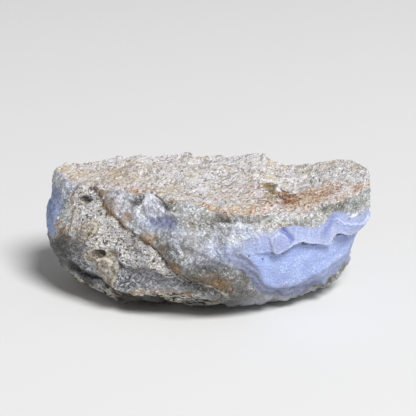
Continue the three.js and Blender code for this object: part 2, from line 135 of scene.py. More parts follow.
SPOTS = [  # round lumps and pits: girth, height, half width, half height, lift
    (-61.2, 32.8, 2.5, 1.3, -2.2), (-39, 19, 2, 1.2, -2), (-46.5, 25.5, 3.5, 3, 0.8),
    (-41, 17.5, 3, 2.5, 1), (-36, 15, 3.5, 3, 1.3), (-33, 10, 3, 3, 1.1),
    (-21, 32.5, 8.5, 1.5, -1.1), (-28, 35.5, 4.5, 1.5, 1.1), (-22, 36.5, 4.5, 1, -1),
    (-38, 35.5, 3.5, 2, -0.9), (59.5, 5.5, 5, 3, -1.3),
]
STAIN_LUMP = (20.5, -4, 4, 5, 1.2)  # x, y, half width, half depth, lift
# Lower edge of the crust at the front, which stands out over a crease right of the middle.
CRUST_EDGE = [
    (-72, 38), (-62, 37), (-48, 37), (-35, 38), (-17, 37), (-4, 36.5), (4.5, 35.5), (10, 34.5),
    (15, 35), (20, 36), (28, 36), (31.5, 35), (34, 34.5), (41, 36.5), (70, 36),
]
CREASE_DEPTH, CREASE_DROP, CREASE_WIDTH = 1.3, 1.1, 0.9
BACK_CRUST_HEIGHT, BACK_CRUST_LIFT = 28.5, 1.0
RIM_CHIPPING = 0.9

# ---- where the colours lie
ROCK_PATCH = [  # its upper right edge is the seam
    (-61, 38), (-68.5, 37), (-66, 34), (-62.5, 31.5), (-57, 29), (-54.5, 26), (-53, 22.5),
    (-46.5, 21.5), (-40, 20), (-33, 20), (-30, 17.5), (-25, 16.5), (-21, 18), (-17, 17.5),
    (-14, 15.5), (-6, 15.5),
    *SEAM[11:0:-1], (-64, 36.5),
]
LEFT_BLUE = [
    (-94, 32), (-78, 33.5), (-70, 33), (-65, 30.5), (-61.5, 27.5), (-59.5, 23), (-61, 20),
    (-67, 19), (-76, 21), (-92, 25),
]
LOBES = [
    (-43.5, 18), (-42.5, 20), (-35, 20), (-31.5, 19), (-30, 12), (-31, 8), (-33, 5.5), (-35, 6),
    (-34, 12), (-38, 13), (-39, 15.5), (-42.5, 15.5),
]
FOOT_TOP = [
    (-80, 14), (-66, 11), (-56, 9.5), (-46, 7.5), (-38, 5.5), (-33, 4.5), (-28, 7), (-23.5, 9.5),
    (-8, 9.5), (-2, 8), (3, 6.5), (9, 1), (14, -2),
]
BLUE_TOP = [
    (3, 25), (8.5, 28), (14, 30), (20, 30), (25.5, 31.5), (29.5, 31.5), (34, 30), (37, 29),
    (41, 30.5), (44.5, 33.5), (50, 31), (54, 28.5), (62.5, 29), (76, 27), (92, 23), (110, 19),
]
BLUE_FOOT = [
    (3, 23.5), (9, 20), (13, 17), (15.5, 13), (19.5, 9), (25, 7), (31, 5.5), (37, 4.5), (42, 5.5),
    (45, 7.5), (51, 9.5), (57, 12), (64, 13.5), (92, 13), (110, 18),
]
PURPLE_PATCH = [
    (-28.5, 33.2), (-24.3, 33.3), (-19.9, 33.4), (-15.5, 33.7), (-11.5, 32.6), (-12, 31),
    (-16.2, 30.6), (-20, 31), (-24.9, 31.8),
]
RING_LUMP = (-46.5, 25.4, 3.6, 3.0)
# A pale block of quartz in the upper edge of the front, and the line along its right edge where
# shade is painted, as (x, y).
PALE_BLOCK = [
    (-20.9, -11.6), (-19.2, -10.6), (-17.2, -12), (-15.8, -14.5), (-14.6, -17.5), (-13.2, -20.4),
    (-14.9, -21.2), (-17.8, -19.5), (-20, -18), (-21.3, -14.9),
]
# Where the quartz reaches over the rim onto the top, as (x, y).
BARE_RIM = [
    (-12, -18), (-9.7, -18), (-5.8, -17.3), (-3.5, -18), (-1, -18.8), (1.5, -21.3), (3.5, -25),
    (-12, -27),
]
BLOCK_EDGE = [(-17, -11.3), (-15.2, -14.5), (-14, -17.5), (-12.6, -20.2)]
PIT_ROOF = [(-62.8, 34), (-61.8, 34), (-60, 33.5), (-58.3, 33), (-57.8, 32.4)]
# Soft patches of a tint on the sides: girth, height, half width, half height, how strong.
SIDE_TINTS = {
    # Mostly painted shade: in the groove, the hollows and low down, and two small dark dots.
    "dark": [
        (1, 20.5, 6, 2.5, 0.5), (-4, 16, 8, 3, 0.55), (9, 7, 10, 6.5, 0.6),
        (-37, 35.5, 4.5, 2, 0.5), (-23, 36.5, 5.5, 1, 0.75), (-12, 21.5, 2.5, 3, 0.5),
        (-14, 25, 2, 2.5, 0.4), (-39, 19, 2, 1, 0.7), (-49, 20, 6, 1.5, 0.6), (-20, 14, 16, 4, 0.4),
        (-6, 12.5, 8, 2, 0.45), (41, 5, 6, 2.5, 0.3), (-3, 4, 14, 3, 0.45), (-28, 2.5, 8, 2, 1.4),
        (-35, 6.5, 2, 4, 1.2), (-42, 9.5, 5, 1.2, 1.2), (-45, 7.5, 5, 1.5, 1.3),
        (-22, 2.5, 6, 0.8, 1.2), (13, 24, 0.35, 0.35, 1.3), (18, 22, 0.35, 0.35, 1.3),
        (-71, 26, 6, 8, 0.3),
    ],
    "amber": [
        (-58, 35.5, 3.5, 2, 0.9), (-50, 33.5, 5, 1.8, 0.8), (-43, 32, 4, 1.5, 0.7),
        (-35, 30.5, 3.5, 2, 0.8), (-21, 27, 3, 2, 1), (-16, 24.5, 2, 3, 0.5),
        (-12, 19, 3, 3, 1), (-2, 16.5, 7, 2, 1), (4, 14.5, 3.5, 2, 1.1), (-7, 28, 2, 7, 0.35),
        (-40, 18, 4, 2, 0.5), (-34, 9, 3, 3, 0.5), (-12, 10, 8, 1.2, 0.5),
    ],
    # Dark olive quartz, with painted shade in the pits and under the crust's edge.
    "murk_and_shade": [
        (-3, 19.5, 8, 3, 0.75), (4, 16.5, 6, 3, 0.7), (9, 12, 6, 5, 0.8), (-14, 24.5, 4, 3, 0.6),
        (-17.5, 27.3, 2, 1.5, 0.6), (5, 33.3, 6, 2, 0.8), (-2, 34, 3, 1, 0.5),
        (13, 34.8, 3, 1, 0.5), (-5, 27, 4, 3, 0.4), (4, 29, 2, 3, 0.4), (-66, 29.5, 3, 4, 0.5),
        (-72, 20, 9, 3.5, 0.7), (-59, 17, 6, 4, 0.75), (-50, 17, 6, 3, 0.5),
        (-61, 32.4, 2.5, 1, 0.9), (-39, 19, 2, 1.2, 0.8), (48, 7, 7, 2.5, 0.8),
        (39, 3.5, 6, 2, 0.7), (57, 10, 4, 3, 0.7), (-37, 35.5, 3.5, 1.6, 0.8),
        (-16.5, 35.3, 3.5, 1, 0.8), (15, 34, 3.5, 1.5, 0.6), (46, 35, 6, 2, 0.7),
        (55, 33, 5, 2, 0.5), (0, 18.5, 8, 3, 1), (8, 14.5, 4, 4, 0.9), (12, 16, 3, 3.5, 0.8),
        (-9, 33, 8, 2, 0.5), (-14, 29.5, 6, 3, 0.35), (-11, 20, 3, 3, 0.8), (2, 13, 8, 3, 1),
        (9, 9, 9, 5, 1), (58, 33.5, 5, 3, 0.3), (31, 31.5, 5, 1.5, 0.45), (0, 23, 6, 2.5, 0.4),
    ],
    "lilac": [
        (-22, 13.5, 8, 3, 0.7), (-48, 34.5, 7, 2, 0.7), (-40, 33, 6, 2, 0.6), (-76, 36, 5, 2, 0.6),
        (-28, 35, 4.5, 2, 0.5), (-3, 24, 4, 3, 0.3), (-8, 34, 5, 1.5, 0.4),
    ],
    "haze": [
        (7, 25.5, 9, 5, 1), (1, 21.5, 8, 2.5, 0.7), (13, 30, 6, 3, 0.8), (-11, 30, 4, 3, 0.5),
        (-4, 26, 6, 3, 0.3), (-68, 32, 3, 4, 0.5), (-20, 31, 9, 2.5, 0.6),
    ],
    "slate": [
        (-5, 13.3, 9, 2, 0.8), (3, 10.5, 4, 1.5, 0.6), (-20, 14.5, 8, 3, 0.35),
        (-50, 17.5, 8, 3, 0.8), (-45.5, 13.5, 6, 3, 0.9), (-57.5, 19, 4, 4, 0.7),
        (-66, 17, 8, 6, 0.6), (-28, 12, 5, 3, 1), (-69, 28, 4, 7, 0.4),
    ],
    "pale": [
        (10, 32.5, 8, 1, 0.6), (53, 29.5, 2.5, 0.7, 0.9), (-75, 34.5, 4.5, 2.5, 0.55),
        (-67, 32, 2.5, 2, 0.4), (8, 29, 5, 2, 0.3), (-43, 33.5, 7, 1.5, 0.3),
        (30, 34, 9, 1.5, 0.35),
    ],
    "beige": [(26, 33, 13, 2, 0.8), (40, 33.5, 6, 2, 0.5), (9, 29, 6, 2, 0.4), (-7, 33, 7, 2, 0.4)],
    "olive": [(-60.8, 32.7, 2.6, 1.1, 0.7), (-39, 18.7, 2, 1.2, 0.6), (-46, 25, 1.5, 1.2, 0.5)],
}
RUST_AREAS = [
    (-59, 24.5, 1, 2, 0.7), (-57.5, 21.5, 1.5, 2, 0.7), (-54.5, 21.5, 2.5, 1, 0.8),
    (-20.5, 26, 1.5, 1, 0.7), (-10, 18, 1.5, 1, 0.8), (4, 15, 2, 1.5, 0.9), (7, 12, 2, 1, 0.7),
    (-56, 23.5, 1.5, 1.5, 0.7), (-50, 20.5, 5, 1, 0.5), (50.5, 29, 0.7, 0.6, 1),
    (28, 10, 0.6, 0.3, 1),
]
# The same on top of the crust: x, y, half width, half depth, how strong.
TOP_TINTS = {
    "cream": [
        (-30, 1.5, 3, 2.5, 0.9), (-25, 7, 2.5, 2.5, 0.6), (7, 17, 3, 3, 0.5),
        (21, 12.5, 3, 2.5, 0.8), (-0.5, 0.5, 2, 2, 0.5), (-11.5, -1.5, 2.5, 2.5, 0.6),
        (-20.5, 20.5, 3, 3, 0.4), (-4.5, 10, 2.5, 3, 0.5), (-49.5, 14, 4, 4, 0.9),
        (-41, 9, 5, 3, 0.4), (8, -22, 12, 2.5, 0.6),
    ],
    "stain": [
        (27, -10, 4.5, 7, 1), (24, -4, 1.5, 4, 1), (34, -8, 6, 9, 0.95), (40, -4, 4, 9, 0.65),
        (31, -17, 7, 3, 0.6), (45, -12, 4, 4, 0.4), (50, -3, 3, 6, 0.45), (-30, 17, 2, 5, 0.35),
        (14, -22, 14, 2.5, 0.45), (22, -17, 8, 4, 0.65), (-25, -8, 8, 2, 0.4), (-33, 3, 6, 2, 0.35),
    ],
    "warm": [
        (-37, 8, 14, 12, 0.7), (-20, -5, 14, 4, 0.6), (-42, -2, 9, 4, 0.8), (-25, 20, 14, 5, 0.4),
        (18, 18, 10, 6, 0.3),
    ],
    "olive": [
        (21.2, -5, 3.3, 6.5, 1.15), (24.8, -1.5, 2.2, 3.8, 1.1), (6, -1, 3, 3, 0.4),
        (33, -2, 1, 1.5, 0.8), (35.5, -14, 1, 2, 0.8),
    ],
    "brown": [
        (26.5, -9.5, 4, 6.5, 1), (26, -5, 1.6, 5, 1.3), (35, -6, 3, 6, 0.4),
        (17.2, -4, 0.7, 4, 0.6), (27, -16, 5, 2.5, 0.5), (21, -14, 5, 2.5, 0.6),
    ],
    "bleached": [(6, 8, 16, 16, 0.45)],
}
PEPPER_AREAS = [(46, 12, 12, 14, 0.7)]
# White spots on the crust: a painted highlight on the nodule, and two more near it.
GLINTS = [(23, -3.5, 0.9, 2.2, 1.2), (23, -12, 0.7, 1.2, 0.7), (20.5, -14, 1, 1, 0.6)]
TOP_SHADOWS = [(-12.5, -17.5, 2, 3, 0.55), (-9.5, -20.5, 2.5, 1.5, 0.4), (-23.5, -11, 2, 2, 0.6)]


# ---- small maths
def ramp(low, high, value):
    t = np.clip((value - low) / (high - low), 0, 1)
    return t * t * (3 - 2 * t)


def smooth_max(a, b, width):
    t = np.clip(0.5 + 0.5 * (a - b) / width, 0, 1)
    return b * (1 - t) + a * t + width * t * (1 - t)


def hump(off, width):
    """1 where `off` is zero, falling off smoothly over `width`."""
    return np.exp(-((off / width) ** 2))


def hash3(i, j, k, seed):
    value = np.sin(i * 127.1 + j * 311.7 + k * 74.7 + seed * 19.19) * 43758.5453
    return value - np.floor(value)


def value_noise(x, y, z, seed):
    """Smooth random hills and hollows one unit apart, -1 to 1."""
    i, j, k = np.floor(x), np.floor(y), np.floor(z)
    u, v, w = (t * t * (3 - 2 * t) for t in (x - i, y - j, z - k))
    total = 0
    for a, b, c in np.ndindex(2, 2, 2):
        weight = (u if a else 1 - u) * (v if b else 1 - v) * (w if c else 1 - w)
        total = total + weight * hash3(i + a, j + b, k + c, seed)
    return 2 * total - 1


def fbm(points, size, octaves, seed):
    """Fractal noise, -1 to 1: layers of smooth noise, each finer and weaker than the last."""
    x, y, z = points.T / size
    total, amplitude, norm = 0, 1.0, 0.0
    for octave in range(octaves):
        total = total + amplitude * value_noise(x, y, z, seed + octave)
        norm += amplitude
        x, y, z = 1.9 * x + 0.7 * y + 3.1, 1.9 * y - 0.7 * z + 1.7, 1.9 * z + 0.7 * x + 5.3
        amplitude *= 0.5
    return total / norm


def noise_vectors(points, size, octaves, seed, count=3):
    return np.stack([fbm(points, size, octaves, seed + n) for n in range(count)], 1)


def cell_vectors(cell, seed):
    """Three random numbers, 0 to 1, for each lattice cell."""
    return np.stack([hash3(*cell.T, seed + n) for n in range(3)], 1)


def nearby_cells(places, seed):
    """Each of the 27 lattice cells round every place, and the way there from its own point."""
    base = np.floor(places)
    for offset in np.ndindex(3, 3, 3):
        cell = base + np.array(offset) - 1
        yield cell, places - cell - cell_vectors(cell, seed)


def chips(points, size, seed, tilt=0.7, curve=0.75, stretch=(1, 1, 1)):
    """Shallow chips that meet in ridges: the lowest of one tilted dish for each lattice cell."""
    lowest = np.full(len(points), np.inf)
    for cell, off in nearby_cells(points / (size * np.array(stretch)), seed):
        lean = (off * (cell_vectors(cell, seed + 3) * 2 - 1)).sum(1)
        lowest = np.minimum(lowest, tilt * lean + curve * (off**2).sum(1))
    return lowest


def crystal_tips(points, size, seed):
    """Height of the nearest of many small pyramids, each turned its own way, zero at a tip."""
    nearest = np.full(len(points), np.inf)
    for cell, off in nearby_cells(points / size, seed):
        a, b = cell_vectors(cell, seed + 3) - 0.5, cell_vectors(cell, seed + 6) - 0.5
        c = np.cross(a, b)
        ways = (a, np.cross(c, a), c)
        along = [np.abs((off * w).sum(1)) / (np.linalg.norm(w, axis=1) + 1e-9) for w in ways]
        nearest = np.minimum(nearest, sum(along))
    return -size * nearest


def hermite(t, span, y0, y1, m0, m1):
    t2, t3 = t**2, t**3
    return (
        (2 * t3 - 3 * t2 + 1) * y0 + (t3 - 2 * t2 + t) * span * m0
        + (3 * t2 - 2 * t3) * y1 + (t3 - t2) * span * m1
    )


def locate(knots, value):
    """Which gap between knots a value lies in, how far across it, and the gap's width."""
    i = np.clip(np.searchsorted(knots, value, side="right") - 1, 0, len(knots) - 2)
    span = knots[i + 1] - knots[i]
    return i, (value - knots[i]) / span, span


def curve_through(xs, ys, value):
    """Smooth curve through knots, held level past either end."""
    xs, ys = np.asarray(xs, float), np.asarray(ys, float)
    slopes = np.gradient(ys, xs)
    i, t, span = locate(xs, np.clip(value, xs[0], xs[-1]))
    return hermite(t, span, ys[i], ys[i + 1], slopes[i], slopes[i + 1])


def line_height(line, girth):
    return np.interp(girth, *np.array(line, float).T)


def line_distance(line, s, z):
    nearest = np.full(len(s), np.inf)
    for (s0, z0), (s1, z1) in zip(line[:-1], line[1:]):
        ds, dz = s1 - s0, z1 - z0
        t = np.clip(((s - s0) * ds + (z - z0) * dz) / (ds * ds + dz * dz), 0, 1)
        nearest = np.minimum(nearest, np.hypot(s - s0 - t * ds, z - z0 - t * dz))
    return nearest


def area_distance(outline, s, z):
    """Distance to a closed outline, negative inside it."""
    inside = np.zeros(len(s), bool)
    for (s0, z0), (s1, z1) in zip(outline[-1:] + outline[:-1], outline):
        if z0 != z1:
            inside ^= ((z0 > z) != (z1 > z)) & (s < s0 + (z - z0) / (z1 - z0) * (s1 - s0))
    distance = line_distance(outline + outline[:1], s, z)
    return np.where(inside, -distance, distance)


# ---- the body before its relief
# The stations, and two more past either end from a turn away.
TURNS = np.repeat([-360.0, 0, 360], [2, len(STATIONS), 2])
AZIMUTHS = np.pad(list(STATIONS), 2, mode="wrap") + TURNS
RADII = np.pad(list(STATIONS.values()), ((2, 2), (0, 0)), mode="wrap")
SLOPES = np.gradient(RADII, AZIMUTHS, axis=0)


def hull_radius(angle, z):
    i, turn, span = locate(AZIMUTHS, np.degrees(angle) % 360)
    j, t, rise = locate(LEVELS, np.clip(z, LEVELS[0], LEVELS[-1]))

    def at_height(knots, station):
        steep = np.gradient(knots, LEVELS, axis=1)
        low, high = (station, j), (station, j + 1)
        return hermite(t, rise, knots[low], knots[high], steep[low], steep[high])

    return hermite(
        turn, span, at_height(RADII, i), at_height(RADII, i + 1),
        at_height(SLOPES, i), at_height(SLOPES, i + 1),
    )


def top_height(x, y):
    t = np.clip((y - TOP_FRONT_Y) / (TOP_BACK_Y - TOP_FRONT_Y), 0, 1)
    return curve_through(*TOP_FRONT, x) * (1 - t) + curve_through(*TOP_BACK, x) * t


def flanks(points):
    """Below zero inside the flanks, which run on above the top."""
    x, y, z = points.T
    angle = np.arctan2(y, x)
    wander = (
        0.5 * np.sin(9 * angle + 0.12 * z) + 0.4 * np.sin(17 * angle + 2 - 0.2 * z)
        + 0.3 * np.sin(31 * angle + 4 + 0.25 * z)
    )
    field = (np.hypot(x, y) - hull_radius(angle, z) - wander * ramp(30, 35, z)) * HULL_SLANT
    for azimuth, tilt, distance in BREAKS:
        a, e = math.radians(azimuth), math.radians(tilt)
        normal = np.array([math.cos(a) * math.cos(e), math.sin(a) * math.cos(e), math.sin(e)])
        field = smooth_max(field, points @ normal - distance, EDGE_ROUND)
    return field


def body(points):
    """Below zero inside the stone."""
    x, y, z = points.T
    return np.maximum(smooth_max(flanks(points), z - top_height(x, y), RIM_ROUND), -z)


def reach(field, along, count, limit):
    """How far along each line a field first turns positive."""
    near, far = np.zeros(count), np.full(count, float(limit))
    for _ in range(HALVINGS):
        middle = (near + far) / 2
        inside = field(along(middle)) < 0
        near, far = np.where(inside, middle, near), np.where(inside, far, middle)
    return near


# ---- girth
girth_angles = -math.pi / 2 + 2 * math.pi * np.arange(GIRTH_STEPS + 1) / GIRTH_STEPS
girth_radii = hull_radius(girth_angles, np.full(GIRTH_STEPS + 1, GIRTH_LEVEL))
girth_points = girth_radii * np.array([np.cos(girth_angles), np.sin(girth_angles)])
girth_at = np.concatenate([[0], np.cumsum(np.hypot(*np.diff(girth_points, axis=1)))])
PERIMETER = girth_at[-1]


def girth_of(x, y):
    turn = (np.arctan2(y, x) + math.pi / 2) % (2 * math.pi)
    girth = np.interp(turn - math.pi / 2, girth_angles, girth_at)
    return np.where(girth > PERIMETER / 2, girth - PERIMETER, girth)


# ---- the net
# Each side of the net's box: its fixed axis, which end of it, and where and how large it lies
# on the flat map of the skin, in millimetres.
MAP_SIZE = (172.0, 155.0)
NET_SIDES = [
    (1, 0, (0.5, 0.5), (108, 45)), (0, 0, (109.5, 0.5), (62, 45)),
    (1, 1, (0.5, 46.5), (108, 45)), (0, 1, (109.5, 46.5), (62, 45)),
    (2, 1, (0.5, 92.5), (108, 62)), (2, 0, (109.5, 92.5), (62, 36)),
]
CORNERS = [(0, 0), (1, 0), (1, 1), (0, 1)]


def box_net(squares):
    """Points of a box's surface, its squares, and each square's corners on the flat map."""
    counts = np.array(squares)
    number = {}
    quads, places = [], []
    for axis, end, origin, size in NET_SIDES:
        a, b = (n for n in range(3) if n != axis)
        i, j = np.meshgrid(np.arange(counts[a] + 1), np.arange(counts[b] + 1), indexing="ij")
        cells = np.empty((i.size, 3), int)
        cells[:, axis], cells[:, a], cells[:, b] = end * counts[axis], i.ravel(), j.ravel()
        ids = [number.setdefault(cell, len(number)) for cell in map(tuple, cells.tolist())]
        ids = np.array(ids).reshape(i.shape)
        share = np.stack([i / counts[a], j / counts[b]], 2)
        inward = (end == 0) != (axis == 1)
        if inward:
            share[..., 0] = 1 - share[..., 0]
        place = (np.array(origin) + share * np.array(size)) / np.array(MAP_SIZE)
        rows, columns = counts[a], counts[b]
        corners = CORNERS[::-1] if inward else CORNERS
        cut = [(slice(u, rows + u), slice(v, columns + v)) for u, v in corners]
        quads.append(np.stack([ids[part] for part in cut], 2).reshape(-1, 4))
        places.append(np.stack([place[part] for part in cut], 2).reshape(-1, 4, 2))
    points = np.array(list(number)) / counts * np.array(NET)
    points -= np.array([NET[0] / 2, NET[1] / 2, 0])
    return points, np.concatenate(quads), np.concatenate(places)


def around_stone(points):
    """Lays the box on a tapered prism round the stone, its upper edges along the rim."""
    x, y, z = points.T
    share = np.maximum(np.abs(x) / (NET[0] / 2), np.abs(y) / (NET[1] / 2))
    bx, by = x / np.maximum(share, 1e-9), y / np.maximum(share, 1e-9)
    at_end = np.abs(np.abs(bx) - NET[0] / 2) < 1e-6
    hand = np.where(bx < 0, -1, 1)
    ends = hand * (NET[0] / 2 + NET[1] / 2 + by)
    long_sides = np.where(by < 0, bx, hand * (NET[0] + NET[1]) - bx)
    turn = np.where(at_end, ends, long_sides) / (2 * (NET[0] + NET[1]))
    angle = np.interp(turn % 1 * PERIMETER, girth_at, girth_angles)
    across = np.array([np.cos(angle), np.sin(angle)])

    def outward(distance):
        u, v = distance * across
        return np.stack([u, v, top_height(u, v)], 1)

    rim = reach(flanks, outward, len(points), RIM_REACH)
    waist = hull_radius(angle, np.full(len(points), WAIST_LEVEL))
    height = z / NET[2]
    target = outward(share * (waist + (rim - waist) * height))
    target[:, 2] *= height
    return target


def cast_out(targets):
    start = np.clip(targets, *CORE)
    way = targets - start
    way /= np.linalg.norm(way, axis=1)[:, None]
    distance = reach(body, lambda far: start + far[:, None] * way, len(targets), SKIN_REACH)
    return start + distance[:, None] * way


def vertex_normals(points, quads):
    a, b, c, d = points[quads.T]
    facing = np.cross(c - a, d - b)
    total = np.zeros_like(points)
    for corner in quads.T:
        np.add.at(total, corner, facing)
    return total / np.linalg.norm(total, axis=1)[:, None]


# ---- relief shared with the solid
def spot_lift(spot, u, v):
    at_u, at_v, half_u, half_v, lift = spot
    far = np.hypot((u - at_u) / half_u, (v - at_v) / half_v)
    return lift * ramp(1 + 0.35 * STEP_WIDTH, 1 - 0.35 * STEP_WIDTH, far)


def step_up(distance, share=0.5):
    """0 before a step in the surface and 1 past it, over a share of the step's full width."""
    return ramp(-share * STEP_WIDTH, share * STEP_WIDTH, distance)


def scoop_foot(s):
    return curve_through(*zip(*SCOOP_FOOT), s)


def shelf_lift(s, z):
    """Scoop under the blue shelf's edge, raised block, notch and fold."""
    edge, foot = line_height(LEDGE, s), scoop_foot(s)
    below = step_up(edge - z)
    fade = 1 - np.clip((edge - z) / (edge - foot), 0, 1)
    lift = -SCOOP_DEPTH * ramp(12, 24, s) * ramp(74, 50, s) * below * fade
    lift += BLOCK_LIFT * step_up(-area_distance(BLOCK, s, z), 1)
    lift -= NOTCH_DEPTH * hump(line_distance(NOTCH, s, z), 0.9)
    under_fold = line_height(FOLD, s) - z
    span = ramp(43, 46, s) * ramp(74, 66, s) * (1 - below)
    return lift + FOLD_LIFT * span * step_up(under_fold, 0.4) * (1 - 0.7 * ramp(0, 9, under_fold))


def seam_lift(s, z):
    """Quartz over the rock along the seam, hollow under the rock's lip, groove at the left."""
    distance = line_distance(SEAM, s, z)
    start = ramp(-66, -60, s)
    over = step_up(0.8 * (z - line_height(SEAM, s)), 0.4)
    lift = QUARTZ_LIFT * over * np.exp(-distance / 8) * ramp(6, -4, s) * start
    lift -= SEAM_DEPTH * hump(distance, 0.4 + STEP_WIDTH / 2) * start
    hollow = step_up(-area_distance(UNDERCUT, s, z))
    lift -= UNDERCUT_DEPTH * hollow * (1 - 0.75 * np.clip((18 - z) / 9, 0, 1))
    groove = hump(line_distance(GROOVE, s, z), 2.2)
    return lift - GROOVE_DEPTH * groove * (1 - 0.6 * ramp(8, 20, z))


def back_crust_line(s):
    return BACK_CRUST_HEIGHT + 1.6 * np.sin(s / 7) + 0.9 * np.sin(s / 3.1 + 1)


def crust_lift(s, z):
    """Crust standing out over a crease at the front, and over the quartz round the back."""
    over = z - line_height(CRUST_EDGE, s)
    crease = hump(over + CREASE_DROP, CREASE_WIDTH) * ramp(-4, 4, s) * ramp(26, 18, s)
    back = ramp(76, 88, np.abs(s)) * step_up(z - back_crust_line(s))
    return BACK_CRUST_LIFT * back - CREASE_DEPTH * crease


def top_share(up):
    """1 where the skin faces up, 0 on the sides."""
    return ramp(0.81, 0.88, up)


def over_floor(z):
    """0 at the flat spot underneath, which stays flat, and 1 a little higher."""
    return ramp(0.3, 2.5, z)


def relief(points, up, s):
    """Height of the finished surface over the body."""
    x, y, z = points.T
    top = top_share(up)
    bend = noise_vectors(points, 11, 2, 60) * 2.2
    blue = ramp(10, 22, s) * ramp(80, 66, s) * ramp(-2, 2, z - scoop_foot(s))
    chipped = 2.6 * (chips(points + bend, 10.5, 20) - 0.055)
    chipped += 1.1 * (chips(points + bend / 2, 4.6, 25) - 0.06)
    side = 0.7 * fbm(points, 17, 3, 1) + chipped * (1 - 0.75 * blue)
    side += shelf_lift(s, z) + seam_lift(s, z) + crust_lift(s, z)
    side += sum(spot_lift(spot, s, z) for spot in SPOTS)
    lumps = 2.6 * (0.2 - chips(points, 4.4, 40, 0, 1))
    side += lumps * ramp(11, 6, z) * ramp(8, 16, s) * ramp(110, 95, s)
    flakes = 2.4 * (chips(points, 5, 50, 1, 0.9, (1.6, 1.6, 0.55)) - 0.2)
    side += flakes * ramp(11, 7, z) * ramp(14, 6, s)
    crust = 0.6 * fbm(points, 14, 3, 5) + 0.9 * fbm(points, 6.5, 2, 8)
    crust += 1.1 * (chips(points + bend, 8, 30) - 0.3) + spot_lift(STAIN_LUMP, x, y)
    at_rim = hump(z - top_height(x, y), 2.5) * ramp(0.97, 0.85, up)
    chipping = RIM_CHIPPING * at_rim * fbm(points, 4, 2, 15)
    return (side * (1 - top) + crust * top + chipping) * over_floor(z)


# ---- where each kind of stone shows
def soft_areas(areas, u, v):
    """The strongest of several soft round patches at each place, 0 to 1."""
    share = np.zeros(len(u))
    for at_u, at_v, half_u, half_v, strength in areas:
        far = ((u - at_u) / half_u) ** 2 + ((v - at_v) / half_v) ** 2
        share = np.maximum(share, strength * np.exp(-(far**1.5)))
    return share


